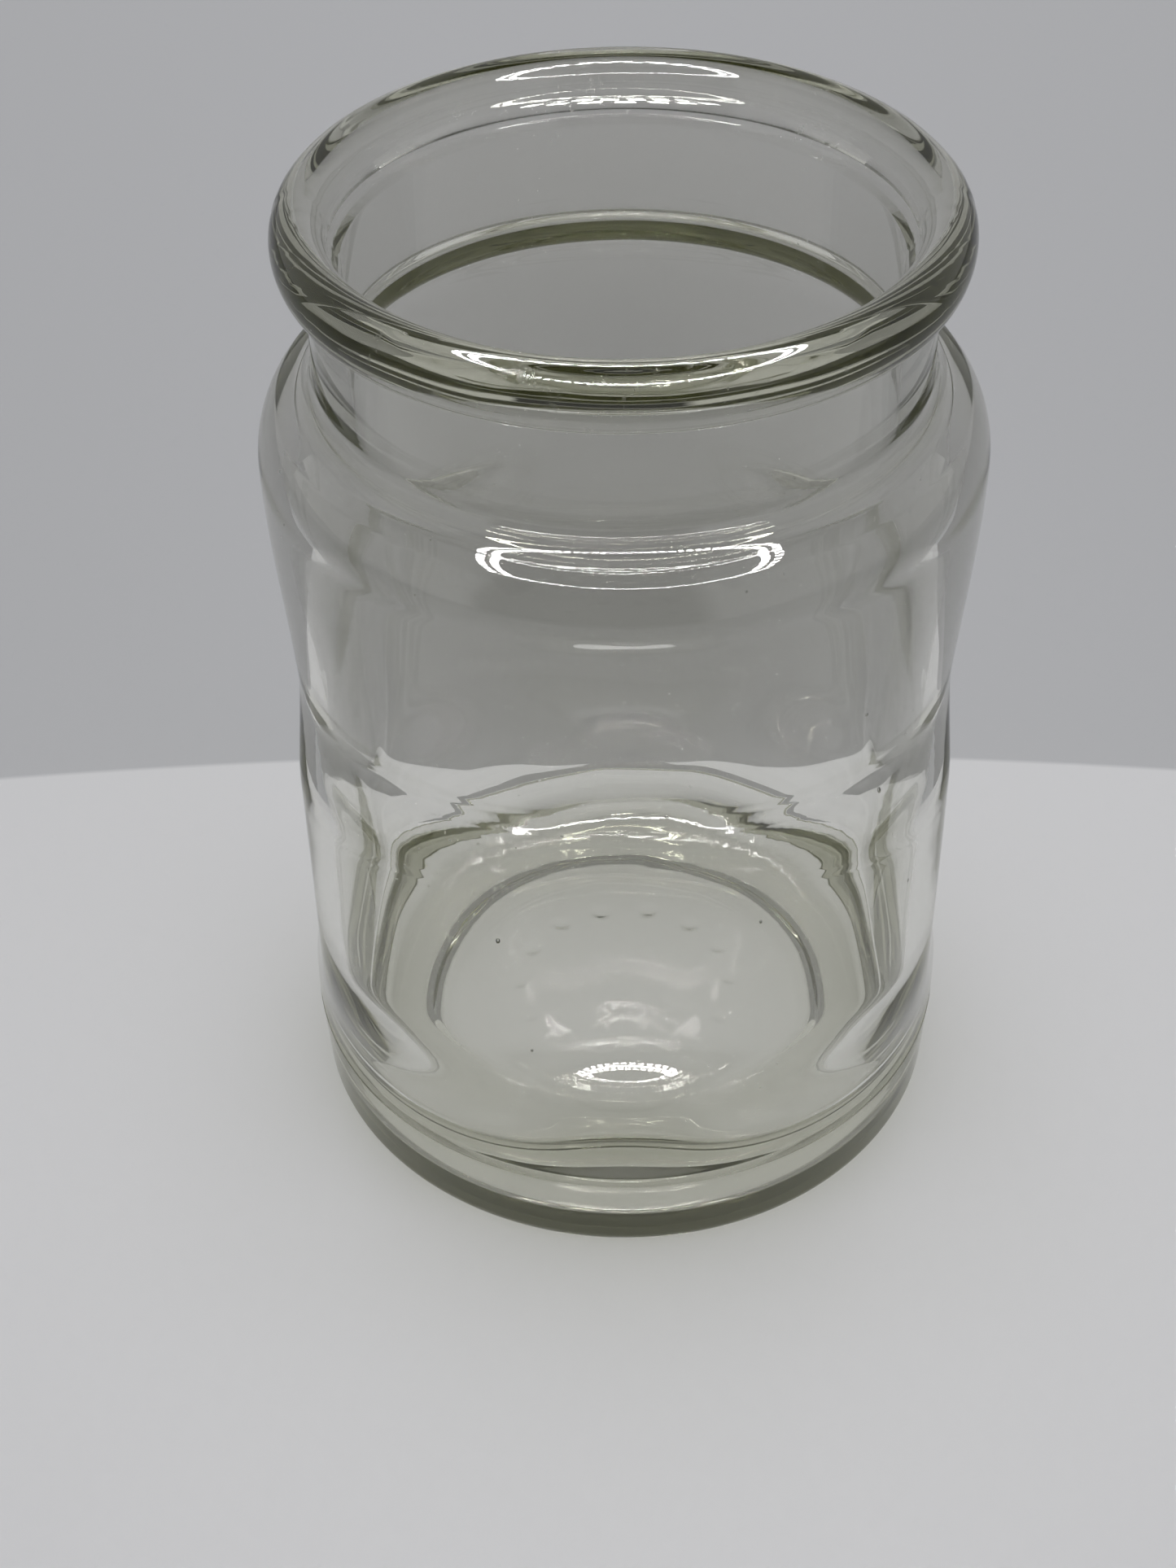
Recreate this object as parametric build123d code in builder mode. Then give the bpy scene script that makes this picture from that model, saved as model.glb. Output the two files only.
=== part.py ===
"""Wide-mouth museum specimen jar in pressed clear glass: one piece, open at the top.

The jar stands on a round foot, and a fine groove parts the foot from the body. The body is a
rounded square with four panels, whose corners stand out past the round shoulder above them. A
short neck ends in a rolled bead rim with a flared inner lip. The floor is domed over a hollow,
inside the flat ring that the jar stands on.

Frame: +Z up, origin at the centre of the resting face, panels square to X and Y. Millimetres.
"""
from build123d import *
from math import cos, radians, sin, sqrt
import os

# Driving dimensions
HEIGHT = 135.0  # resting face to the top of the rim
FOOT_RADIUS = 44.0  # at the resting face, before its edge is rounded
FOOT_HEIGHT = 13.6  # resting face to the bottom of the groove's V
BODY_RADIUS = 44.7  # round part of the body, under the shoulder
PANEL_DISTANCE = 41.1  # axis to the middle of a panel
CORNER_DISTANCE = 49.0  # axis to the outside of a body corner
WALL = 3.2
FLOOR_HEIGHT = 8.0  # resting face to the lowest ring of the inside floor

# Foot and underside
EDGE_RADIUS = 2.6  # round lower edge of the foot
GROOVE_DEPTH = 0.9  # and half its height
HOLLOW_RADIUS = 31.0  # hollow under the floor, inside the resting ring
HOLLOW_STEP = 3.0  # height of the steep step just inside the ring
HOLLOW_TOP_RADIUS = 28.0  # where the step ends and the dome starts
HOLLOW_DEPTH = 7.2  # resting face to the top of the dome
HOLLOW_DOME_RISE = HOLLOW_DEPTH - HOLLOW_STEP
HOLLOW_DOME_RADIUS = (HOLLOW_TOP_RADIUS**2 + HOLLOW_DOME_RISE**2) / (2 * HOLLOW_DOME_RISE)
HOLLOW_FILLET = 2.5
PUSH_UP_RADIUS = 27.0  # inside, the floor is domed over the hollow
PUSH_UP_RISE = 3.6
PUSH_UP_ROOT = 0.3  # how far the dome's body is sunk in the floor
PUSH_UP_DOME_RADIUS = (PUSH_UP_RADIUS**2 + PUSH_UP_RISE**2) / (2 * PUSH_UP_RISE)
HEEL_SPREAD = 11.0  # inside, the elliptical round between the wall and the floor
HEEL_RISE = 11.0
HEEL_ANGLES = [0, 15, 30, 45, 60, 75]  # where the heel's sections are drawn

# Heights at which the body turns from round to square and back
BODY_START = FOOT_HEIGHT + GROOVE_DEPTH
SQUARE_FROM = 38.0  # corners fully out from here
SQUARE_TO = 66.0
CORNERS_GONE = 76.0
PANELS_FULL = 68.0  # panels fully sunk up to here
ROUND_FROM = 101.0  # fully round from here up to the rim
INNER_CREEP = 1.5  # the inside turns square this much higher and round this much lower
SECTION_STEP = 3.0  # greatest height between two body sections
PANEL_END_ANGLE = 25.0  # from the middle of a panel to its end, seen from the axis
PANEL_CROWN = 0.3  # how far the middle of a panel stands proud of its ends

# Shoulder, neck and rim
SHOULDER_START = 102.0
NECK_START = 112.0
NECK_RADIUS = 37.1
NECK_FOOT = 112.0  # corner between the shoulder's slope and the neck, before its fillet
NECK_FILLET = 5.0
SHOULDER_ARC = 52.0  # degrees of the shoulder's quarter ellipse, before it runs straight
THROAT_ARC = 56.0  # the same inside
THROAT_RADIUS = 33.0
THROAT_START = 110.5
THROAT_FOOT = 109.9  # corner between the inner shoulder's slope and the throat
THROAT_FILLET = 3.2
THROAT_END = 126.9  # crease where the flared lip starts
CUT_PAST_RIM = 1.0  # how far above the rim the cavity's block ends
BEAD_RADIUS = 40.7
BEAD_HALF_WIDTH = 3.2
BEAD_HALF_HEIGHT = 4.2
BEAD_START = -50.0  # angle on the bead's ellipse where its underside starts
BEAD_FILLET = 1.2
BEAD_MIDDLE_RADIUS = BEAD_RADIUS - BEAD_HALF_WIDTH
BEAD_MIDDLE_HEIGHT = HEIGHT - BEAD_HALF_HEIGHT
NECK_TOP = HEIGHT - 2 * BEAD_HALF_HEIGHT


def ease(value, start, end):
    """0 at start and 1 at end, level at both; start may be the larger one."""
    t = min(max((value - start) / (end - start), 0.0), 1.0)
    return t * t * (3 - 2 * t)


def sunk_panel(z):
    """Distance of a panel where only the shoulder rounds the body."""
    return BODY_RADIUS + ease(z, ROUND_FROM, PANELS_FULL) * (PANEL_DISTANCE - BODY_RADIUS)


def corner_out(z, off_foot):
    """Distance of a corner, given how far the body has turned square above the foot."""
    out = off_foot * ease(z, CORNERS_GONE, SQUARE_TO)
    return BODY_RADIUS + out * (CORNER_DISTANCE - BODY_RADIUS)


def outer_shape(z):
    """Panel and corner distance of the outside of the body at height z."""
    off_foot = ease(z, BODY_START, SQUARE_FROM)
    panel = BODY_RADIUS + off_foot * (sunk_panel(z) - BODY_RADIUS)
    return panel, corner_out(z, off_foot)


def inner_shape(z, inset=0.0):
    """Panel and corner distance of the inside, whose panels reach right down to the floor."""
    off_foot = ease(z - INNER_CREEP, BODY_START, SQUARE_FROM)
    corner = corner_out(z + INNER_CREEP, off_foot)
    return sunk_panel(z + INNER_CREEP) - WALL - inset, corner - WALL - inset


def even_heights(start, end):
    """Heights from start to end, both included, no further apart than SECTION_STEP."""
    count = int((end - start) / SECTION_STEP) + 1
    return [start + (end - start) * i / count for i in range(count + 1)]


def split_point(panel, corner):
    """Where a panel ends and a corner starts, on a rounded square of these two distances."""
    corner_radius = (sqrt(2) * panel - corner) / (sqrt(2) - 1)
    centre = panel - corner_radius  # of the corner's arc, the same in X and Y
    turn = radians(PANEL_END_ANGLE)
    along = centre * (cos(turn) + sin(turn))
    reach = along + sqrt(along**2 - 2 * centre**2 + corner_radius**2)
    side = min(reach * cos(turn), panel - PANEL_CROWN)
    return side, reach * sin(turn)


def section(z, panel, corner):
    """Level face at height z, bounded by four panel arcs and four corner arcs."""
    side, half = split_point(panel, corner)
    diagonal = corner / sqrt(2)
    quarter_points = [(side, -half), (panel, 0), (side, half), (diagonal, diagonal), (half, side)]
    with BuildSketch(Plane.XY.offset(z)) as face:
        with BuildLine():
            for quarter in range(4):
                turned = [Vector(x, y).rotate(Axis.Z, 90 * quarter) for x, y in quarter_points]
                ThreePointArc(*turned[:3])
                ThreePointArc(*turned[2:])
        make_face()
    return face.sketch


# Inside: the square well from the floor to the shoulder, and the round throat above it
with BuildPart() as cavity:
    inside_sections = []
    for angle in HEEL_ANGLES:
        heel_height = FLOOR_HEIGHT + HEEL_RISE * (1 - cos(radians(angle)))
        heel_inset = HEEL_SPREAD * (1 - sin(radians(angle)))
        inside_sections.append(section(heel_height, *inner_shape(heel_height, heel_inset)))
    for height in even_heights(FLOOR_HEIGHT + HEEL_RISE, ROUND_FROM):
        inside_sections.append(section(height, *inner_shape(height)))
    loft(inside_sections)
    with BuildSketch(Plane.XZ) as throat:
        with BuildLine():
            shoulder_inside = EllipticalCenterArc(
                (THROAT_RADIUS, SHOULDER_START),
                BODY_RADIUS - WALL - THROAT_RADIUS,
                THROAT_START - SHOULDER_START,
                start_angle=0,
                arc_size=THROAT_ARC,
            )
            Polyline(
                shoulder_inside @ 1,
                (THROAT_RADIUS, THROAT_FOOT),
                (THROAT_RADIUS, THROAT_END),
                (BEAD_MIDDLE_RADIUS - BEAD_HALF_WIDTH, BEAD_MIDDLE_HEIGHT),
                (BEAD_MIDDLE_RADIUS - BEAD_HALF_WIDTH, HEIGHT + CUT_PAST_RIM),
                (0, HEIGHT + CUT_PAST_RIM),
                (0, ROUND_FROM),
                (BODY_RADIUS - WALL, ROUND_FROM),
                shoulder_inside @ 0,
            )
        make_face()
        fillet(throat.vertices().sort_by_distance((THROAT_RADIUS, THROAT_FOOT, 0))[0], THROAT_FILLET)
    revolve(axis=Axis.Z)

# The whole jar: foot, square body, shoulder, neck and rim, less the inside
with BuildPart() as glass_jar:
    loft([section(height, *outer_shape(height)) for height in even_heights(BODY_START, ROUND_FROM)])
    with BuildSketch(Plane.XZ) as foot:  # with the groove above it
        with BuildLine():
            Polyline(
                (0, HOLLOW_DEPTH),
                (0, BODY_START),
                (BODY_RADIUS, BODY_START),
                (BODY_RADIUS - GROOVE_DEPTH, FOOT_HEIGHT),
                (BODY_RADIUS, FOOT_HEIGHT - GROOVE_DEPTH),
                (FOOT_RADIUS, 0),
                (HOLLOW_RADIUS, 0),
                (HOLLOW_TOP_RADIUS, HOLLOW_STEP),
            )
            RadiusArc((0, HOLLOW_DEPTH), (HOLLOW_TOP_RADIUS, HOLLOW_STEP), HOLLOW_DOME_RADIUS)
        make_face()
        fillet(foot.vertices().sort_by_distance((HOLLOW_TOP_RADIUS, HOLLOW_STEP, 0))[0], HOLLOW_FILLET)
        fillet(foot.vertices().sort_by_distance((HOLLOW_RADIUS, 0, 0))[0], HOLLOW_FILLET)
        fillet(foot.vertices().sort_by_distance((FOOT_RADIUS, 0, 0))[0], EDGE_RADIUS)
    revolve(axis=Axis.Z)
    with BuildSketch(Plane.XZ) as top:  # shoulder, neck and rim
        with BuildLine():
            shoulder = EllipticalCenterArc(
                (NECK_RADIUS, SHOULDER_START),
                BODY_RADIUS - NECK_RADIUS,
                NECK_START - SHOULDER_START,
                start_angle=0,
                arc_size=SHOULDER_ARC,
            )
            bead = EllipticalCenterArc(
                (BEAD_MIDDLE_RADIUS, BEAD_MIDDLE_HEIGHT),
                BEAD_HALF_WIDTH,
                BEAD_HALF_HEIGHT,
                start_angle=BEAD_START,
                arc_size=180 - BEAD_START,
            )
            Polyline(shoulder @ 1, (NECK_RADIUS, NECK_FOOT), (NECK_RADIUS, NECK_TOP), bead @ 0)
            Polyline(bead @ 1, (0, BEAD_MIDDLE_HEIGHT), (0, ROUND_FROM), (BODY_RADIUS, ROUND_FROM), shoulder @ 0)
        make_face()
        fillet(top.vertices().sort_by_distance((NECK_RADIUS, NECK_FOOT, 0))[0], NECK_FILLET)
        fillet(top.vertices().sort_by_distance((NECK_RADIUS, NECK_TOP, 0))[0], BEAD_FILLET)
    revolve(axis=Axis.Z)
    add(cavity.part, mode=Mode.SUBTRACT)
    with BuildSketch(Plane.XZ):  # the floor's dome, over the hollow
        with BuildLine():
            Polyline(
                (0, FLOOR_HEIGHT + PUSH_UP_RISE),
                (0, FLOOR_HEIGHT - PUSH_UP_ROOT),
                (PUSH_UP_RADIUS, FLOOR_HEIGHT - PUSH_UP_ROOT),
                (PUSH_UP_RADIUS, FLOOR_HEIGHT),
            )
            RadiusArc((0, FLOOR_HEIGHT + PUSH_UP_RISE), (PUSH_UP_RADIUS, FLOOR_HEIGHT), PUSH_UP_DOME_RADIUS)
        make_face()
    revolve(axis=Axis.Z)

glass_jar.part.label = "glass_jar"

os.makedirs("parts", exist_ok=True)
export_step(glass_jar.part, "parts/glass_jar.step")
print("glass volume", round(glass_jar.part.volume / 1000, 1), "cm3, box", glass_jar.part.bounding_box())
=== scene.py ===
"""Looks of the museum specimen jar: one piece of pressed clear glass on a pale floor.

The glass is one closed mesh that stands for the CAD node glass_jar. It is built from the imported
part's driving dimensions, apart from the differences listed with them below. Metres, in the
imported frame: +Z up, panels square to X and Y.
"""
import math

import bpy
import numpy as np
from mathutils import Matrix, Vector


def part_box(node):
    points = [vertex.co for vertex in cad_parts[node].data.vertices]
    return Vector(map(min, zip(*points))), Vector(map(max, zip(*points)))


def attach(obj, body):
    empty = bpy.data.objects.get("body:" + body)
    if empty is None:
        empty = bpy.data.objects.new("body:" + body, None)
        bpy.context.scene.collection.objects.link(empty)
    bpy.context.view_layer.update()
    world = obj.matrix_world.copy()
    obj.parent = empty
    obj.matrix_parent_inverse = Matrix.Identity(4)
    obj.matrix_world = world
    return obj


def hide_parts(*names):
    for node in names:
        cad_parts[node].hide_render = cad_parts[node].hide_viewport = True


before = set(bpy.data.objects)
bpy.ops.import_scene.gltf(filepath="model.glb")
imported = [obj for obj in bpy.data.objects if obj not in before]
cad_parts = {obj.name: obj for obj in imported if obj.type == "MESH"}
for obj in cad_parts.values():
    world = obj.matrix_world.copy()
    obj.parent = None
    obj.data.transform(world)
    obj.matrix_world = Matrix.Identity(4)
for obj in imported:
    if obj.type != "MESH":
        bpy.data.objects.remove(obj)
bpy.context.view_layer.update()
jar_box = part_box("glass_jar")

MM = 0.001
SEED = 20
random = np.random.default_rng(SEED)

# ---- Sizes of the jar in millimetres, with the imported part's values but for these -----------
# BODY_RADIUS is 0.02 less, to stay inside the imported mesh. HOLLOW_FILLET is 2.5 more, for a
# softer line through the floor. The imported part's panels are crowned by 0.3; these are flat.
HEIGHT = jar_box[1].z / MM
FOOT_RADIUS = 44.0
FOOT_HEIGHT = 13.6
BODY_RADIUS = 44.68
PANEL_DISTANCE = 41.1
CORNER_DISTANCE = 49.0
WALL = 3.2
FLOOR_HEIGHT = 8.0
DOME_RADIUS = 27.0
DOME_RISE = 3.6
CAP_ROOT = 0.3
EDGE_RADIUS = 2.6
GROOVE_DEPTH = 0.9
GROOVE_FILLETS = (0.5, 0.15, 0.4)
HOLLOW_RADIUS = 31.0
HOLLOW_STEP = 3.0
HOLLOW_TOP_RADIUS = 28.0
HOLLOW_DEPTH = 7.2
HOLLOW_FILLET = 5.0
HEEL_SPREAD = 11.0
HEEL_RISE = 11.0
BODY_START = FOOT_HEIGHT + GROOVE_DEPTH
SQUARE_FROM = 38.0
SQUARE_TO = 66.0
CORNERS_GONE = 76.0
INNER_CREEP = 1.5
PANELS_FULL = 68.0
ROUND_FROM = 101.0
SHOULDER_START = 102.0
SHOULDER_ARC = 52
NECK_START = 112.0
NECK_RADIUS = 37.1
NECK_FILLET = 5.0
THROAT_ARC = 56
THROAT_RADIUS = 33.0
THROAT_START = 110.5
THROAT_FOOT = 109.9
THROAT_FILLET = 3.2
THROAT_END = 126.9
LIP_FILLET = 1.2
BEAD_RADIUS = 40.7
BEAD_HALF_WIDTH = 3.2
BEAD_HALF_HEIGHT = 4.2
BEAD_START = -50
BEAD_FILLET = 1.2
BEAD_MIDDLE = (BEAD_RADIUS - BEAD_HALF_WIDTH, HEIGHT - BEAD_HALF_HEIGHT)
NECK_TOP = HEIGHT - 2 * BEAD_HALF_HEIGHT

# ---- Small marks of making and wear, in millimetres ----------------------------------------
WAVE_DEPTH = 0.06
WAVE_COUNT = 9
WAVES_AROUND = (2, 11)
WAVES_UPWARDS = (0.05, 0.28)
SEAM_DEPTH = 0.12
DOT_COUNT = 14
DOT_RING = 15.0
DOT_RADIUS = 1.3
DOT_HEIGHT = 0.2
BUBBLE_COUNT = 22
BUBBLE_HEIGHTS = (30, 108)
BUBBLE_SIZES = (0.12, 0.3)
BUBBLE_STRETCHES = (1.0, 1.9)

# ---- Fineness of the mesh -----------------------------------------------------------------
COLUMNS = 232
BODY_STEP = 1.4
OUTLINE_POINTS = 1440
QUARTER = math.pi / 2
CORNER_SOFTENING = math.radians(3.5)


def ease(value, start, end):
    """0 at start and 1 at end, level at both; start may be the larger one."""
    t = np.clip((value - start) / (end - start), 0.0, 1.0)
    return t * t * (3 - 2 * t)


def sunk_panel(z):
    """Distance of a panel where only the shoulder rounds the body."""
    return BODY_RADIUS + ease(z, ROUND_FROM, PANELS_FULL) * (PANEL_DISTANCE - BODY_RADIUS)


def corner_out(z, off_foot):
    """Distance of a corner, given how far the body has turned square above the foot."""
    out = off_foot * ease(z, CORNERS_GONE, SQUARE_TO)
    return BODY_RADIUS + out * (CORNER_DISTANCE - BODY_RADIUS)


def outer_shape(z):
    """Panel and corner distance of the outside of the body at height z."""
    off_foot = ease(z, BODY_START, SQUARE_FROM)
    panel = BODY_RADIUS + off_foot * (sunk_panel(z) - BODY_RADIUS)
    return panel, corner_out(z, off_foot)


def inner_shape(z, inset=0.0):
    """Panel and corner distance of the inside, whose panels reach right down to the floor."""
    off_foot = ease(z - INNER_CREEP, BODY_START, SQUARE_FROM)
    corner = corner_out(z + INNER_CREEP, off_foot)
    return sunk_panel(z + INNER_CREEP) - WALL - inset, corner - WALL - inset


def rounded_square(panel, corner, angles):
    """Radius at each angle of a rounded square, its corners softened a little."""
    centre = max(corner - panel, 0.0) / (math.sqrt(2) - 1)
    bend = panel - centre
    fine = np.arange(OUTLINE_POINTS) * 2 * math.pi / OUTLINE_POINTS
    local = np.mod(fine + QUARTER / 2, QUARTER) - QUARTER / 2
    off = QUARTER / 2 - np.abs(local)
    flat = panel / np.cos(local)
    arc = centre * math.sqrt(2) * np.cos(off)
    arc = arc + np.sqrt(np.maximum(bend**2 - 2 * (centre * np.sin(off)) ** 2, 0))
    radius = np.where(np.abs(local) < math.atan2(centre, panel), flat, arc)
    spectrum = np.fft.rfft(radius)
    spectrum *= np.exp(-0.5 * (np.arange(len(spectrum)) * CORNER_SOFTENING) ** 2)
    radius = np.fft.irfft(spectrum, OUTLINE_POINTS)
    return np.interp(angles, fine, radius, period=2 * math.pi)


def arc_points(centre, radii, start, end, count):
    """Points (radius, height) on an ellipse about centre, angles in degrees."""
    turns = np.radians(np.linspace(start, end, count))
    return [
        (centre[0] + radii[0] * math.cos(t), centre[1] + radii[1] * math.sin(t)) for t in turns
    ]


def run_points(start, end, count):
    """Points on a straight run, without its end."""
    return [tuple(p) for p in np.linspace(start, end, count + 1)[:-1]]


def filleted(before, corner, after, radius, count):
    """Points of the round that replaces a corner between two straight runs."""
    a = Vector(before) - Vector(corner)
    b = Vector(after) - Vector(corner)
    a.normalize()
    b.normalize()
    half = a.angle(b) / 2
    middle = Vector(corner) + (a + b).normalized() * (radius / math.sin(half))
    start = Vector(corner) + a * (radius / math.tan(half)) - middle
    end = Vector(corner) + b * (radius / math.tan(half)) - middle
    spread = start.angle(end)
    points = []
    for i in range(count):
        t = i / (count - 1)
        way = start * math.sin((1 - t) * spread) + end * math.sin(t * spread)
        points.append(tuple(middle + way / math.sin(spread)))
    return points


def cap_height(radius, base_radius, rise):
    """Height of a shallow round cap above its base circle, eased in at the circle."""
    ball = (base_radius**2 + rise**2) / (2 * rise)
    inside = np.minimum(radius, base_radius)
    height = np.sqrt(ball**2 - inside**2) - (ball - rise)
    return np.sqrt(height**2 + CAP_ROOT**2) - CAP_ROOT * np.exp(-height)


def turned_rows(points):
    """Rows of a surface of revolution."""
    return [(np.full(COLUMNS, r), np.full(COLUMNS, z)) for r, z in points]


def square_row(shape, angles, z):
    """One level row of the body, shape being its panel and corner distance."""
    return rounded_square(*shape, angles), np.full(COLUMNS, z)


def foot_points():
    """Points from the middle of the underside, over the resting ring, to above the groove."""
    reach = HOLLOW_TOP_RADIUS - 1.7
    rise = HOLLOW_DEPTH - HOLLOW_STEP
    hollow = [
        (r, HOLLOW_STEP + cap_height(r, HOLLOW_TOP_RADIUS, rise))
        for r in np.linspace(1.2, reach, 44)
    ]
    step_top = (HOLLOW_TOP_RADIUS, HOLLOW_STEP)
    step_foot = (HOLLOW_RADIUS, 0)
    edge = (FOOT_RADIUS, 0)
    groove_low = (BODY_RADIUS, FOOT_HEIGHT - GROOVE_DEPTH)
    groove = (BODY_RADIUS - GROOVE_DEPTH, FOOT_HEIGHT)
    groove_high = (BODY_RADIUS, BODY_START)
    low_fillet, deep_fillet, high_fillet = GROOVE_FILLETS
    return (
        hollow
        + filleted(hollow[-1], step_top, step_foot, HOLLOW_FILLET, 8)
        + filleted(step_top, step_foot, edge, HOLLOW_FILLET, 8)
        + filleted(step_foot, edge, groove_low, EDGE_RADIUS, 11)
        + run_points((FOOT_RADIUS + 0.15, 3.2), (BODY_RADIUS - 0.06, 12.2), 8)
        + filleted((FOOT_RADIUS, 3), groove_low, groove, low_fillet, 5)
        + filleted(groove_low, groove, groove_high, deep_fillet, 5)
        + filleted(groove, groove_high, (BODY_RADIUS, BODY_START + 3), high_fillet, 5)
    )


def neck_points():
    """Points from the shoulder up the neck, round the bead and down the throat to the inside."""
    shoulder_size = (BODY_RADIUS - NECK_RADIUS, NECK_START - SHOULDER_START)
    shoulder = arc_points((NECK_RADIUS, SHOULDER_START), shoulder_size, 0, SHOULDER_ARC, 16)
    neck_foot = (NECK_RADIUS, NECK_START)
    neck_top = (NECK_RADIUS, NECK_TOP)
    bead = arc_points(BEAD_MIDDLE, (BEAD_HALF_WIDTH, BEAD_HALF_HEIGHT), BEAD_START, 180, 44)
    lip_end = (BEAD_MIDDLE[0] - BEAD_HALF_WIDTH, BEAD_MIDDLE[1])
    throat_top = (THROAT_RADIUS, THROAT_END)
    throat_foot = (THROAT_RADIUS, THROAT_FOOT)
    inside_size = (BODY_RADIUS - WALL - THROAT_RADIUS, THROAT_START - SHOULDER_START)
    inner_shoulder = arc_points((THROAT_RADIUS, SHOULDER_START), inside_size, THROAT_ARC, 0, 20)
    return (
        shoulder
        + filleted(shoulder[-1], neck_foot, neck_top, NECK_FILLET, 12)
        + run_points((NECK_RADIUS, NECK_START + 4), (NECK_RADIUS, NECK_TOP - 1.4), 9)
        + filleted(neck_foot, neck_top, bead[0], BEAD_FILLET, 7)
        + bead
        + run_points(
            (lip_end[0] - 0.1, lip_end[1] - 0.4), (THROAT_RADIUS + 0.35, THROAT_END + 1.2), 6
        )
        + filleted(lip_end, throat_top, (THROAT_RADIUS, THROAT_START), LIP_FILLET, 6)
        + run_points((THROAT_RADIUS, THROAT_END - 0.6), (THROAT_RADIUS, THROAT_START + 2.2), 14)
        + filleted(throat_top, throat_foot, inner_shoulder[0], THROAT_FILLET, 9)
        + inner_shoulder[1:]
    )


def inside_rows(angles):
    """Rows down the inside of the body, round the heel and in over the domed floor."""
    rows = []
    for z in np.arange(SHOULDER_START - 0.8, FLOOR_HEIGHT + HEEL_RISE + 0.3, -BODY_STEP):
        rows.append(square_row(inner_shape(z), angles, z))
    for turn in np.radians(np.linspace(88, 3, 22)):
        z = FLOOR_HEIGHT + HEEL_RISE * (1 - math.cos(turn))
        rows.append(square_row(inner_shape(z, HEEL_SPREAD * (1 - math.sin(turn))), angles, z))
    edge = rows[-1][0]
    for share in np.linspace(0.97, 0.03, 40):
        squareness = share * share * (3 - 2 * share)
        radius = share * (edge * squareness + (1 - squareness) * DOME_RADIUS)
        rows.append((radius, FLOOR_HEIGHT + cap_height(radius, DOME_RADIUS, DOME_RISE)))
    return rows


def glass_rows(angles):
    """Rows of the whole surface, from the middle of the underside to the middle of the floor."""
    rows = turned_rows(foot_points())
    for z in np.arange(BODY_START + 0.6, SHOULDER_START - 0.3, BODY_STEP):
        rows.append(square_row(outer_shape(z), angles, z))
    return rows + turned_rows(neck_points()) + inside_rows(angles)


def waves(angles, height):
    """Shallow uneven waves of a moulded surface, between 0 and WAVE_DEPTH."""
    total = np.zeros_like(height)
    for _ in range(WAVE_COUNT):
        around = random.integers(*WAVES_AROUND)
        upwards = random.uniform(*WAVES_UPWARDS)
        turn, shift = random.uniform(0, 2 * math.pi, 2)
        total += np.sin(angles * around + turn) * np.sin(height * upwards + shift)
    return WAVE_DEPTH * np.clip(0.5 + 0.25 * total, 0, 1)


def base_dots(angles, radius):
    """Height of a plain ring of raised dots under the floor."""
    total = np.zeros_like(radius)
    for i in range(DOT_COUNT):
        turn = i * 2 * math.pi / DOT_COUNT
        away = np.hypot(
            radius * np.cos(angles) - DOT_RING * math.cos(turn),
            radius * np.sin(angles) - DOT_RING * math.sin(turn),
        )
        total += DOT_HEIGHT * np.exp(-((away / DOT_RADIUS) ** 4))
    return total


def add_marks(angles, radius, height, inside_from):
    """Waves into both faces, mould seams down the rim and neck, and dots under the floor."""
    outside = np.arange(len(radius))[:, None] < inside_from
    on_wall = ease(height, BODY_START, SQUARE_FROM)
    outer_waves = waves(angles, height)
    inner_waves = waves(angles, height)
    radius -= np.where(outside, outer_waves, -inner_waves) * on_wall
    seam = np.zeros(COLUMNS)
    seam[[0, COLUMNS // 2]] = SEAM_DEPTH
    radius -= np.where(outside, seam, -seam) * (height > NECK_START)
    under = outside & (height > 0.5) & (radius < HOLLOW_TOP_RADIUS)
    height -= np.where(under, base_dots(angles, radius), 0)


def bubbles():
    """Points and faces of tiny air bubbles inside the body's wall, facing inwards."""
    points, faces = [], []
    for _ in range(BUBBLE_COUNT):
        turn = random.uniform(0, 2 * math.pi)
        z = min(random.uniform(*BUBBLE_HEIGHTS), SHOULDER_START - 2)
        outer = rounded_square(*outer_shape(z), turn)
        inner = rounded_square(*inner_shape(z), turn)
        middle = 0.5 * (outer + inner)
        size = random.uniform(*BUBBLE_SIZES)
        stretch = random.uniform(*BUBBLE_STRETCHES)
        centre = np.array([middle * math.cos(turn), middle * math.sin(turn), z])
        start = len(points)
        for level in (-0.75, 0.0, 0.75):
            ring = math.sqrt(1 - level * level)
            for k in range(8):
                across = (ring * math.cos(k * math.pi / 4), ring * math.sin(k * math.pi / 4))
                points.append(centre + size * np.array([*across, level * stretch]))
        points.append(centre - np.array([0, 0, size * stretch]))
        points.append(centre + np.array([0, 0, size * stretch]))
        for k in range(8):
            low, middle_ring, high = start + k, start + 8 + k, start + 16 + k
            step = (k + 1) % 8 - k
            faces.append((start + 24, low, low + step))
            faces.append((low, middle_ring, middle_ring + step, low + step))
            faces.append((middle_ring, high, high + step, middle_ring + step))
            faces.append((high, start + 25, high + step))
    return points, faces


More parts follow.
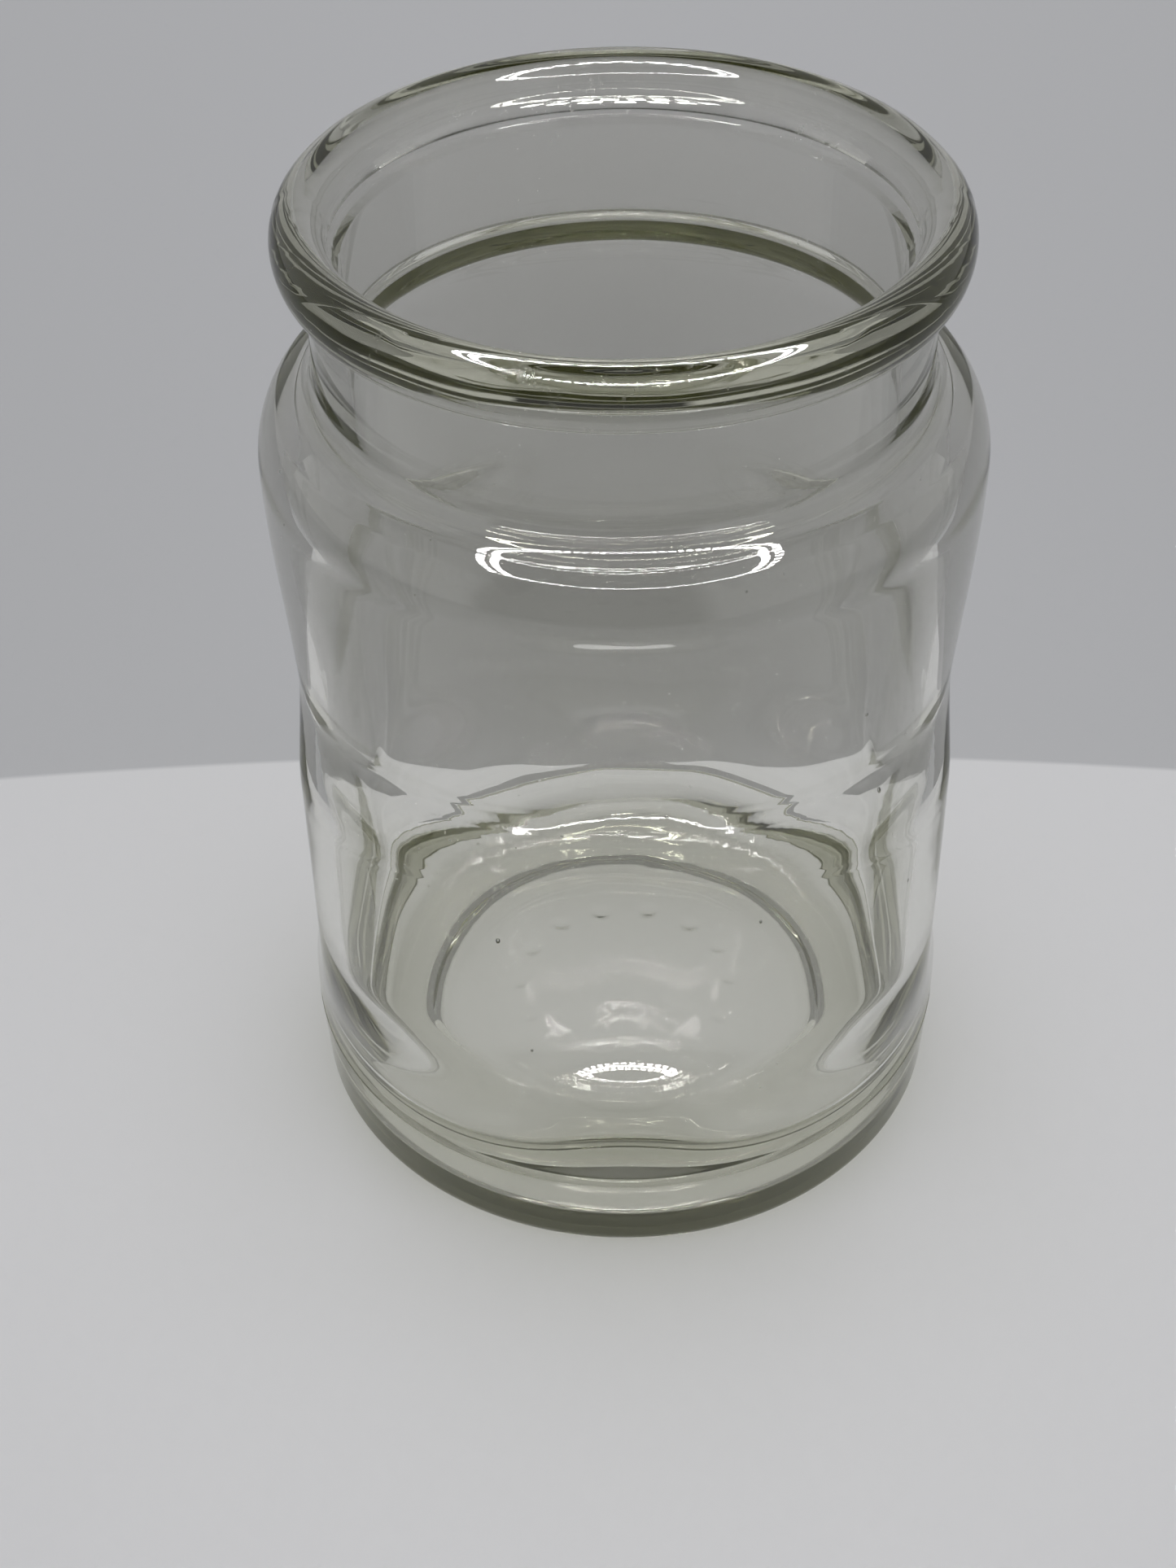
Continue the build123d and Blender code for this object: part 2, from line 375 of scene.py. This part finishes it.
def glass_mesh():
    """The jar as one closed mesh of level rings joined by quads, with a fan at each end."""
    angles = np.arange(COLUMNS) * 2 * math.pi / COLUMNS
    rows = glass_rows(angles)
    radius = np.array([r for r, z in rows])
    height = np.array([z for r, z in rows])
    add_marks(angles, radius, height, int(height[:, 0].argmax()))
    points = np.stack([radius * np.cos(angles), radius * np.sin(angles), height], axis=2)
    points = points.reshape(-1, 3) * MM
    first, last = len(points), len(points) + 1
    ends = np.array([[0, 0, HOLLOW_DEPTH], [0, 0, FLOOR_HEIGHT + DOME_RISE]]) * MM
    points = np.vstack([points, ends])
    faces = []
    for row in range(len(rows) - 1):
        here, above = row * COLUMNS, (row + 1) * COLUMNS
        for column in range(COLUMNS):
            beside = (column + 1) % COLUMNS
            faces.append((here + column, here + beside, above + beside, above + column))
    top = (len(rows) - 1) * COLUMNS
    for column in range(COLUMNS):
        beside = (column + 1) % COLUMNS
        faces.append((first, beside, column))
        faces.append((last, top + column, top + beside))
    bubble_points, bubble_faces = bubbles()
    start = len(points)
    points = np.vstack([points, np.array(bubble_points) * MM])
    faces += [tuple(start + i for i in face) for face in bubble_faces]
    mesh = bpy.data.meshes.new("glass_jar_clear")
    mesh.from_pydata(points.tolist(), [], faces)
    mesh.polygons.foreach_set("use_smooth", [True] * len(faces))
    mesh.update()
    return mesh


# ---- Shader helpers -----------------------------------------------------------------------
def fill(tree, socket, value):
    """Link a socket to another, or set its value."""
    if isinstance(value, bpy.types.NodeSocket):
        tree.links.new(value, socket)
    else:
        socket.default_value = value


def node(tree, kind, **inputs):
    """A new shader node with the named inputs set or linked; underscores stand for spaces."""
    made = tree.nodes.new(kind)
    for name, value in inputs.items():
        fill(tree, made.inputs[name.replace("_", " ")], value)
    return made


def maths(tree, operation, *values):
    """The result of a Math node on these numbers and sockets."""
    made = tree.nodes.new("ShaderNodeMath")
    made.operation = operation
    for socket, value in zip(made.inputs, values):
        fill(tree, socket, value)
    return made.outputs[0]


def between(tree, value, start, end, low=0.0, high=1.0):
    """A Map Range node's result: low at start, high at end, level beyond."""
    made = node(
        tree, "ShaderNodeMapRange", Value=value, From_Min=start, From_Max=end, To_Min=low, To_Max=high
    )
    return made.outputs["Result"]


def mixed_colour(tree, share, first, second):
    """A Mix node's colour; first and second are colours or sockets."""
    made = tree.nodes.new("ShaderNodeMix")
    made.data_type = "RGBA"
    fill(tree, made.inputs["Factor"], share)
    fill(tree, made.inputs["A"], first)
    fill(tree, made.inputs["B"], second)
    return made.outputs["Result"]


def plain_material(name, **inputs):
    """A new material and its Principled BSDF, with the named inputs set."""
    material = bpy.data.materials.new(name)
    material.use_nodes = True
    body = material.node_tree.nodes["Principled BSDF"]
    for input_name, value in inputs.items():
        body.inputs[input_name.replace("_", " ")].default_value = value
    return material, body


# ---- The glass ----------------------------------------------------------------------------
# Wear on the rim starts and is full at these heights, in metres
RIM_WEAR_FROM = 0.1265
RIM_WEAR_FULL = 0.1285
SMOOTH_ROUGHNESS = 0.003
MARK_ROUGHNESS = 0.4


def clear_glass():
    """Clear glass with a faint olive tint where it is thick; light passes to what lies behind."""
    material = bpy.data.materials.new("clear_glass")
    material.use_nodes = True
    tree = material.node_tree
    tree.nodes.clear()
    output = tree.nodes.new("ShaderNodeOutputMaterial")
    place = tree.nodes.new("ShaderNodeTexCoord").outputs["Object"]
    # Specks of dust inside smears, and scuffs in patches of the rim
    smears = node(tree, "ShaderNodeTexNoise", Vector=place, Scale=28.0, Detail=3.0)
    specks = node(tree, "ShaderNodeTexNoise", Vector=place, Scale=950.0, Detail=1.0)
    smeared = between(tree, smears.outputs["Fac"], 0.55, 0.7)
    speckled = between(tree, specks.outputs["Fac"], 0.72, 0.76)
    dust = maths(tree, "MULTIPLY", smeared, speckled)
    upward = node(tree, "ShaderNodeSeparateXYZ", Vector=place).outputs["Z"]
    on_rim = between(tree, upward, RIM_WEAR_FROM, RIM_WEAR_FULL)
    scuffs = node(tree, "ShaderNodeTexNoise", Vector=place, Scale=170.0, Detail=6.0, Roughness=0.8)
    worn = maths(tree, "MULTIPLY", between(tree, scuffs.outputs["Fac"], 0.58, 0.64), on_rim)
    worn = maths(tree, "MULTIPLY", worn, between(tree, smears.outputs["Fac"], 0.45, 0.6))
    marks = maths(tree, "MAXIMUM", dust, worn)
    rough = maths(tree, "MULTIPLY_ADD", marks, MARK_ROUGHNESS, SMOOTH_ROUGHNESS)
    body = node(tree, "ShaderNodeBsdfPrincipled", Transmission_Weight=1.0, IOR=1.52, Roughness=rough)
    body.inputs["Base Color"].default_value = (1, 1, 1, 1)
    tint = node(tree, "ShaderNodeVolumeAbsorption", Density=25.0)
    tint.inputs["Color"].default_value = (0.37, 0.38, 0.16, 1)
    # Shadow and diffuse rays go straight through, a little dimmed at grazing angles
    path = tree.nodes.new("ShaderNodeLightPath")
    passing = maths(
        tree, "MAXIMUM", path.outputs["Is Shadow Ray"], path.outputs["Is Diffuse Ray"]
    )
    facing = node(tree, "ShaderNodeLayerWeight", Blend=0.35).outputs["Facing"]
    shade = between(tree, facing, 0.0, 1.0, 1.0, 0.85)
    through = node(tree, "ShaderNodeBsdfTransparent", Color=shade)
    mixed = tree.nodes.new("ShaderNodeMixShader")
    tree.links.new(passing, mixed.inputs[0])
    tree.links.new(body.outputs[0], mixed.inputs[1])
    tree.links.new(through.outputs[0], mixed.inputs[2])
    tree.links.new(mixed.outputs[0], output.inputs["Surface"])
    tree.links.new(tint.outputs[0], output.inputs["Volume"])
    return material


def placed(name, data):
    """A new object in the scene."""
    made = bpy.data.objects.new(name, data)
    bpy.context.scene.collection.objects.link(made)
    return made


jar = placed("glass_jar_clear", glass_mesh())
jar.data.materials.append(clear_glass())
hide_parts("glass_jar")
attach(jar, "root")


# ---- Floor and back sheet -----------------------------------------------------------------
FLOOR_REACH = 2.0
FLOOR_LEVEL = -0.0002
SHEET_EDGE = 0.06
SHEET_BEND = 0.55
WHITE_SHEET = (0.81, 0.81, 0.83, 1)
GREY_SHEET = (0.58, 0.585, 0.605, 1)


def floor_material():
    """Off-white sheet in front, and the greyer sheet behind the jar, past a curved edge."""
    material, body = plain_material("floor", Roughness=0.7, Specular_IOR_Level=0.2)
    tree = material.node_tree
    place = tree.nodes.new("ShaderNodeTexCoord").outputs["Object"]
    parts = node(tree, "ShaderNodeSeparateXYZ", Vector=place)
    square = maths(tree, "MULTIPLY", parts.outputs["X"], parts.outputs["X"])
    past_edge = maths(tree, "MULTIPLY_ADD", square, SHEET_BEND, parts.outputs["Y"])
    behind = between(tree, past_edge, SHEET_EDGE - 0.0005, SHEET_EDGE + 0.0005)
    colour = mixed_colour(tree, behind, WHITE_SHEET, GREY_SHEET)
    tree.links.new(colour, body.inputs["Base Color"])
    return material


floor_mesh = bpy.data.meshes.new("floor")
corners = [(-1, -1), (1, -1), (1, 1), (-1, 1)]
floor_mesh.from_pydata(
    [(x * FLOOR_REACH, y * FLOOR_REACH, FLOOR_LEVEL) for x, y in corners], [], [(0, 1, 2, 3)]
)
floor = placed("floor", floor_mesh)
floor_mesh.materials.append(floor_material())

# The back sheet as the glass sees it; the camera sees the same edge on the floor, from all round
back_mesh = bpy.data.meshes.new("back_sheet")
across = np.linspace(-0.15, 0.15, 25)
sheet = [(x, SHEET_EDGE - SHEET_BEND * x * x, z) for z in (FLOOR_LEVEL, 0.22) for x in across]
back_mesh.from_pydata(sheet, [], [(i, i + 1, i + 26, i + 25) for i in range(24)])
back = placed("back_sheet", back_mesh)
back.visible_camera = False
back.visible_diffuse = False
back.visible_glossy = False
back.visible_shadow = False
back_mesh.materials.append(
    plain_material("back_sheet", Base_Color=(0.62, 0.62, 0.63, 1), Roughness=0.8)[0]
)


# ---- Studio: a white box with its front open, pale all round and dim through the opening -----
PALE_WALLS = (0.56, 0.56, 0.565, 1)
DIM_ROOM = (0.025, 0.025, 0.022, 1)
OPENING_SHIFT = 0.25
NEVER_ZERO = 0.001

world = bpy.data.worlds.new("studio")
bpy.context.scene.world = world
world.use_nodes = True
sky = world.node_tree
looking = sky.nodes.new("ShaderNodeTexCoord").outputs["Generated"]
direction = node(sky, "ShaderNodeSeparateXYZ", Vector=looking)
upward = maths(sky, "MAXIMUM", direction.outputs["Z"], NEVER_ZERO)
towards = maths(sky, "MULTIPLY", direction.outputs["Y"], -1.0)
forward = maths(sky, "MAXIMUM", towards, NEVER_ZERO)
sideways = maths(sky, "MULTIPLY_ADD", forward, OPENING_SHIFT, direction.outputs["X"])
aside = maths(sky, "ABSOLUTE", sideways)
beside_opening = between(sky, maths(sky, "DIVIDE", aside, forward), 0.65, 0.8)
under_ceiling = between(sky, maths(sky, "DIVIDE", aside, upward), 0.65, 0.85)
at_back = between(sky, maths(sky, "DIVIDE", direction.outputs["Y"], upward), 0.38, 0.54)
wall_share = maths(sky, "MAXIMUM", maths(sky, "MINIMUM", beside_opening, under_ceiling), at_back)
seen = sky.nodes.new("ShaderNodeLightPath").outputs["Is Camera Ray"]
wall_share = maths(sky, "MAXIMUM", wall_share, seen)
walls = mixed_colour(sky, wall_share, DIM_ROOM, PALE_WALLS)
sky.links.new(walls, sky.nodes["Background"].inputs["Color"])


# ---- Lamps --------------------------------------------------------------------------------
RING_CENTRE = Vector((0.003, -0.055, 0.2))
RINGS = ((0.0535, 0.0), (0.0595, 0.5))
LAMPS_IN_RING = 60
LAMP_HALF = 0.0019
LAMP_GLOW = 50.0


def unseen_lamp(name, shape, size, energy, location):
    """An area lamp, facing down, that lights the scene and shows nowhere."""
    data = bpy.data.lights.new(name, "AREA")
    data.shape = shape
    data.size = size
    data.energy = energy
    lamp = placed(name, data)
    lamp.location = location
    lamp.visible_camera = False
    lamp.visible_glossy = False
    lamp.visible_transmission = False


def ring_lamp_mesh():
    """Two rings of small square lamps, staggered, all level."""
    points, faces = [], []
    for ring_radius, first_turn in RINGS:
        for step in range(LAMPS_IN_RING):
            turn = (step + first_turn) * 2 * math.pi / LAMPS_IN_RING
            outward = Vector((math.cos(turn), math.sin(turn), 0))
            along = Vector((-math.sin(turn), math.cos(turn), 0))
            start = len(points)
            for out, side in ((-1, -1), (-1, 1), (1, 1), (1, -1)):
                shift = outward * (ring_radius + out * LAMP_HALF) + along * side * LAMP_HALF
                points.append(RING_CENTRE + shift)
            faces.append((start, start + 1, start + 2, start + 3))
    mesh = bpy.data.meshes.new("ring_lamps")
    mesh.from_pydata(points, [], faces)
    return mesh


unseen_lamp("soft_lamp", "SQUARE", 0.9, 2.8, (0, 0.45, 0.7))
unseen_lamp("disc_lamp", "DISK", 0.13, 0.10, RING_CENTRE)

# The rings of lamps themselves, seen only as highlights in the glass
ring_lamps = placed("ring_lamps", ring_lamp_mesh())
ring_lamps.visible_camera = False
ring_lamps.visible_diffuse = False
ring_lamps.visible_shadow = False
glow = plain_material(
    "ring_lamps",
    Base_Color=(0, 0, 0, 1),
    Emission_Color=(1, 1, 1, 1),
    Emission_Strength=LAMP_GLOW,
)[0]
glow.cycles.emission_sampling = "NONE"
ring_lamps.data.materials.append(glow)


# ---- Camera -------------------------------------------------------------------------------
# Lens in millimetres, place in metres, angles in radians: down, to the side, and rolled
LENS = 56.0457
CAMERA_PLACE = (0, -0.2543, 0.2665)
DOWN, SIDEWAYS, ROLL = 0.716, -0.0198, -0.016

camera_data = bpy.data.cameras.new("camera")
camera_data.lens = LENS
camera_data.clip_start = 0.01
camera = placed("camera", camera_data)
bpy.context.scene.camera = camera
ahead = Vector(
    (math.sin(SIDEWAYS) * math.cos(DOWN), math.cos(SIDEWAYS) * math.cos(DOWN), -math.sin(DOWN))
)
level = Vector((math.cos(SIDEWAYS), -math.sin(SIDEWAYS), 0))
upright = level.cross(ahead)
right = math.cos(ROLL) * level + math.sin(ROLL) * upright
up = math.cos(ROLL) * upright - math.sin(ROLL) * level
turned = Matrix((right, up, -ahead)).transposed().to_4x4()
camera.matrix_world = Matrix.Translation(CAMERA_PLACE) @ turned

bpy.context.scene.view_settings.view_transform = "Standard"
bpy.context.scene.cycles.max_bounces = 40
bpy.context.scene.cycles.transmission_bounces = 40
bpy.context.scene.cycles.glossy_bounces = 40
bpy.context.scene.cycles.transparent_max_bounces = 24
# The small lamps' highlights would be clamped away
bpy.context.scene.cycles.sample_clamp_indirect = 0
